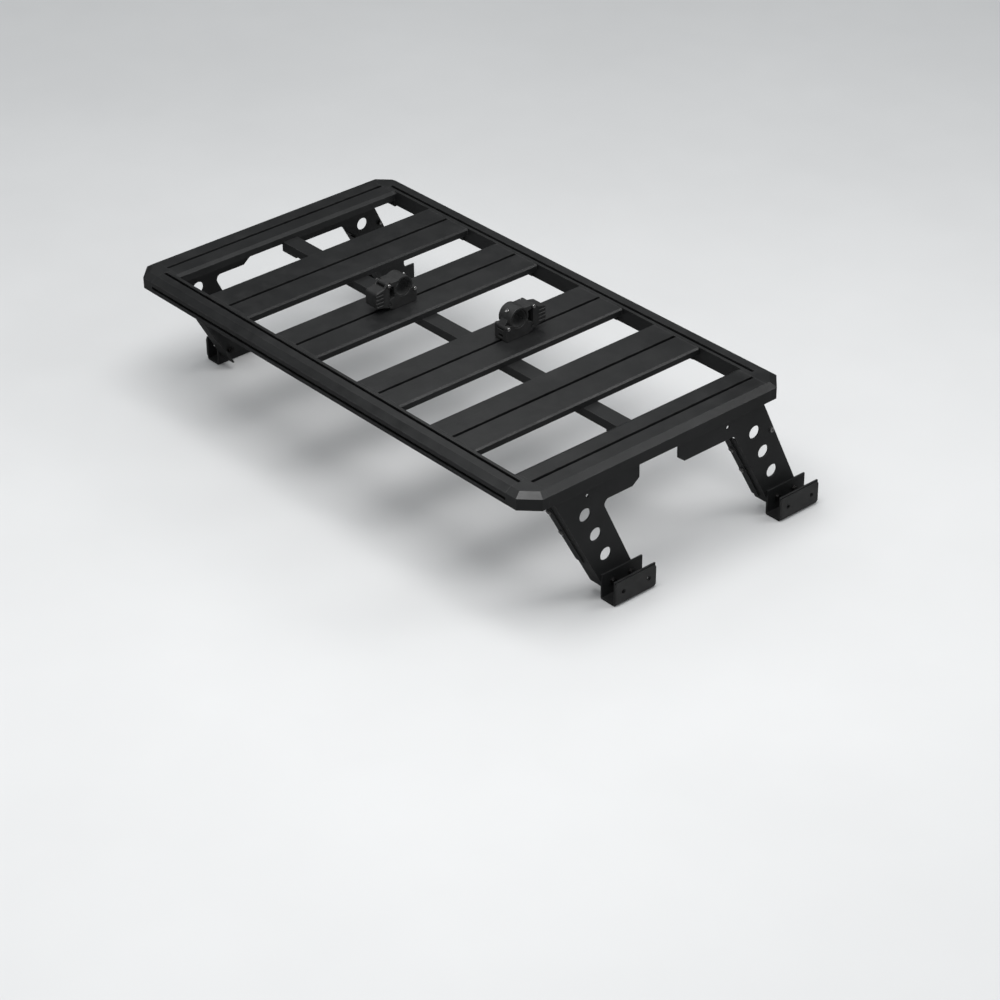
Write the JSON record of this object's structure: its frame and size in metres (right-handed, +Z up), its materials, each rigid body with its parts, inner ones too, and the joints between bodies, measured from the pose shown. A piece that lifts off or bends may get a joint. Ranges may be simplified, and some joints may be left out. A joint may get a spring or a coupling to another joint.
{
  "type": "truck bed cargo rack",
  "caption": "Slatted aluminium rack that spans a pickup bed on leaning bolt-down legs, with T-groove slats and hinged, latching tool clamps that slide along them.",
  "frame": {"origin": "middle of the footprint on the underside of the feet", "axes": "+X across the bed to the vehicle's right, +Y towards the cab, +Z up"},
  "size_m": [1.378, 0.79, 0.3905],
  "materials": {
    "rail_finish": "satin black powder coat on aluminium",
    "cap_finish": "satin black powder coat on cast aluminium",
    "slat_finish": "satin black powder coat on aluminium",
    "understructure_paint": "satin black",
    "leg_paint": "fine-textured black powder coat on steel",
    "end_cap_plastic": "matte",
    "clamp_plastic": "fine moulded grain",
    "liner_rubber": "matte",
    "pad_rubber": "matte",
    "bright_hardware": "zinc plated",
    "dark_hardware": "black oxide"
  },
  "bodies": {
    "frame": {"rear_rail": "rail_finish", "front_rail": "rail_finish", "left_rail": "rail_finish", "right_rail": "rail_finish", "corner_cap_rear_left": "cap_finish", "corner_cap_rear_right": "cap_finish", "corner_cap_front_left": "cap_finish", "corner_cap_front_right": "cap_finish", "slat_1": "slat_finish", "slat_2": "slat_finish", "slat_3": "slat_finish", "slat_4": "slat_finish", "slat_end_caps": "end_cap_plastic", "spine_bar": "understructure_paint", "spine_brackets": "understructure_paint", "slat_brackets": "understructure_paint", "leg_rear_left": "leg_paint", "leg_rear_right": "leg_paint", "leg_front_left": "leg_paint", "leg_front_right": "leg_paint", "leg_straps": "leg_paint", "foot_rear_left": "leg_paint", "foot_rear_right": "leg_paint", "foot_front_left": "leg_paint", "foot_front_right": "leg_paint", "foot_pads": "pad_rubber", "slat_screws": "dark_hardware", "spine_end_screws": "dark_hardware", "corner_screws": "dark_hardware", "spine_bolts": "dark_hardware", "spine_nuts": "dark_hardware", "leg_top_bolts": "dark_hardware", "leg_slot_nuts": "dark_hardware", "strap_bolts": "bright_hardware", "strap_nuts": "dark_hardware", "accessory_bolts": "bright_hardware", "accessory_nuts": "dark_hardware", "foot_bolts": "dark_hardware", "foot_nuts": "dark_hardware"},
    "clamp_a_slider": {"clamp_a_base": "clamp_plastic", "clamp_a_t_bolt": "bright_hardware", "clamp_a_t_nut": "bright_hardware", "clamp_a_base_liner": "liner_rubber", "clamp_a_hinge_pin": "bright_hardware"},
    "clamp_a_upper": {"clamp_a_jaw": "clamp_plastic", "clamp_a_jaw_liner": "liner_rubber", "clamp_a_lever_pin": "bright_hardware", "clamp_a_jaw_screw": "bright_hardware"},
    "clamp_a_latch": {"clamp_a_lever": "clamp_plastic"},
    "clamp_b_slider": {"clamp_b_base": "clamp_plastic", "clamp_b_t_bolt": "bright_hardware", "clamp_b_t_nut": "bright_hardware", "clamp_b_base_liner": "liner_rubber", "clamp_b_hinge_pin": "bright_hardware"},
    "clamp_b_upper": {"clamp_b_jaw": "clamp_plastic", "clamp_b_jaw_liner": "liner_rubber", "clamp_b_lever_pin": "bright_hardware", "clamp_b_jaw_screw": "bright_hardware"},
    "clamp_b_latch": {"clamp_b_lever": "clamp_plastic"}
  },
  "joints": [
    {"name": "clamp_a_slide", "type": "slide", "parent": "frame", "child": "clamp_a_slider", "axis": [0, 1, 0], "range_m": [-0.2, 0.25]},
    {"name": "clamp_a_jaw_hinge", "type": "hinge", "parent": "clamp_a_slider", "child": "clamp_a_upper", "pos_m": [-0.137, -0.033, 0.351], "axis": [-1, 0, 0], "range_deg": [0, 75]},
    {"name": "clamp_a_lever_hinge", "type": "hinge", "parent": "clamp_a_upper", "child": "clamp_a_latch", "pos_m": [-0.137, -0.104, 0.381], "axis": [-1, 0, 0], "range_deg": [0, 120]},
    {"name": "clamp_b_slide", "type": "slide", "parent": "frame", "child": "clamp_b_slider", "axis": [0, 1, 0], "range_m": [-0.29, 0.165]},
    {"name": "clamp_b_jaw_hinge", "type": "hinge", "parent": "clamp_b_slider", "child": "clamp_b_upper", "pos_m": [0.137, -0.0055, 0.351], "axis": [1, 0, 0], "range_deg": [0, 75]},
    {"name": "clamp_b_lever_hinge", "type": "hinge", "parent": "clamp_b_upper", "child": "clamp_b_latch", "pos_m": [0.137, 0.0655, 0.381], "axis": [1, 0, 0], "range_deg": [0, 120]}
  ],
  "couplings": [
    {"joint": "clamp_a_lever_hinge", "follows": "clamp_a_jaw_hinge", "ratio": 1.6},
    {"joint": "clamp_b_lever_hinge", "follows": "clamp_b_jaw_hinge", "ratio": 1.6}
  ]
}
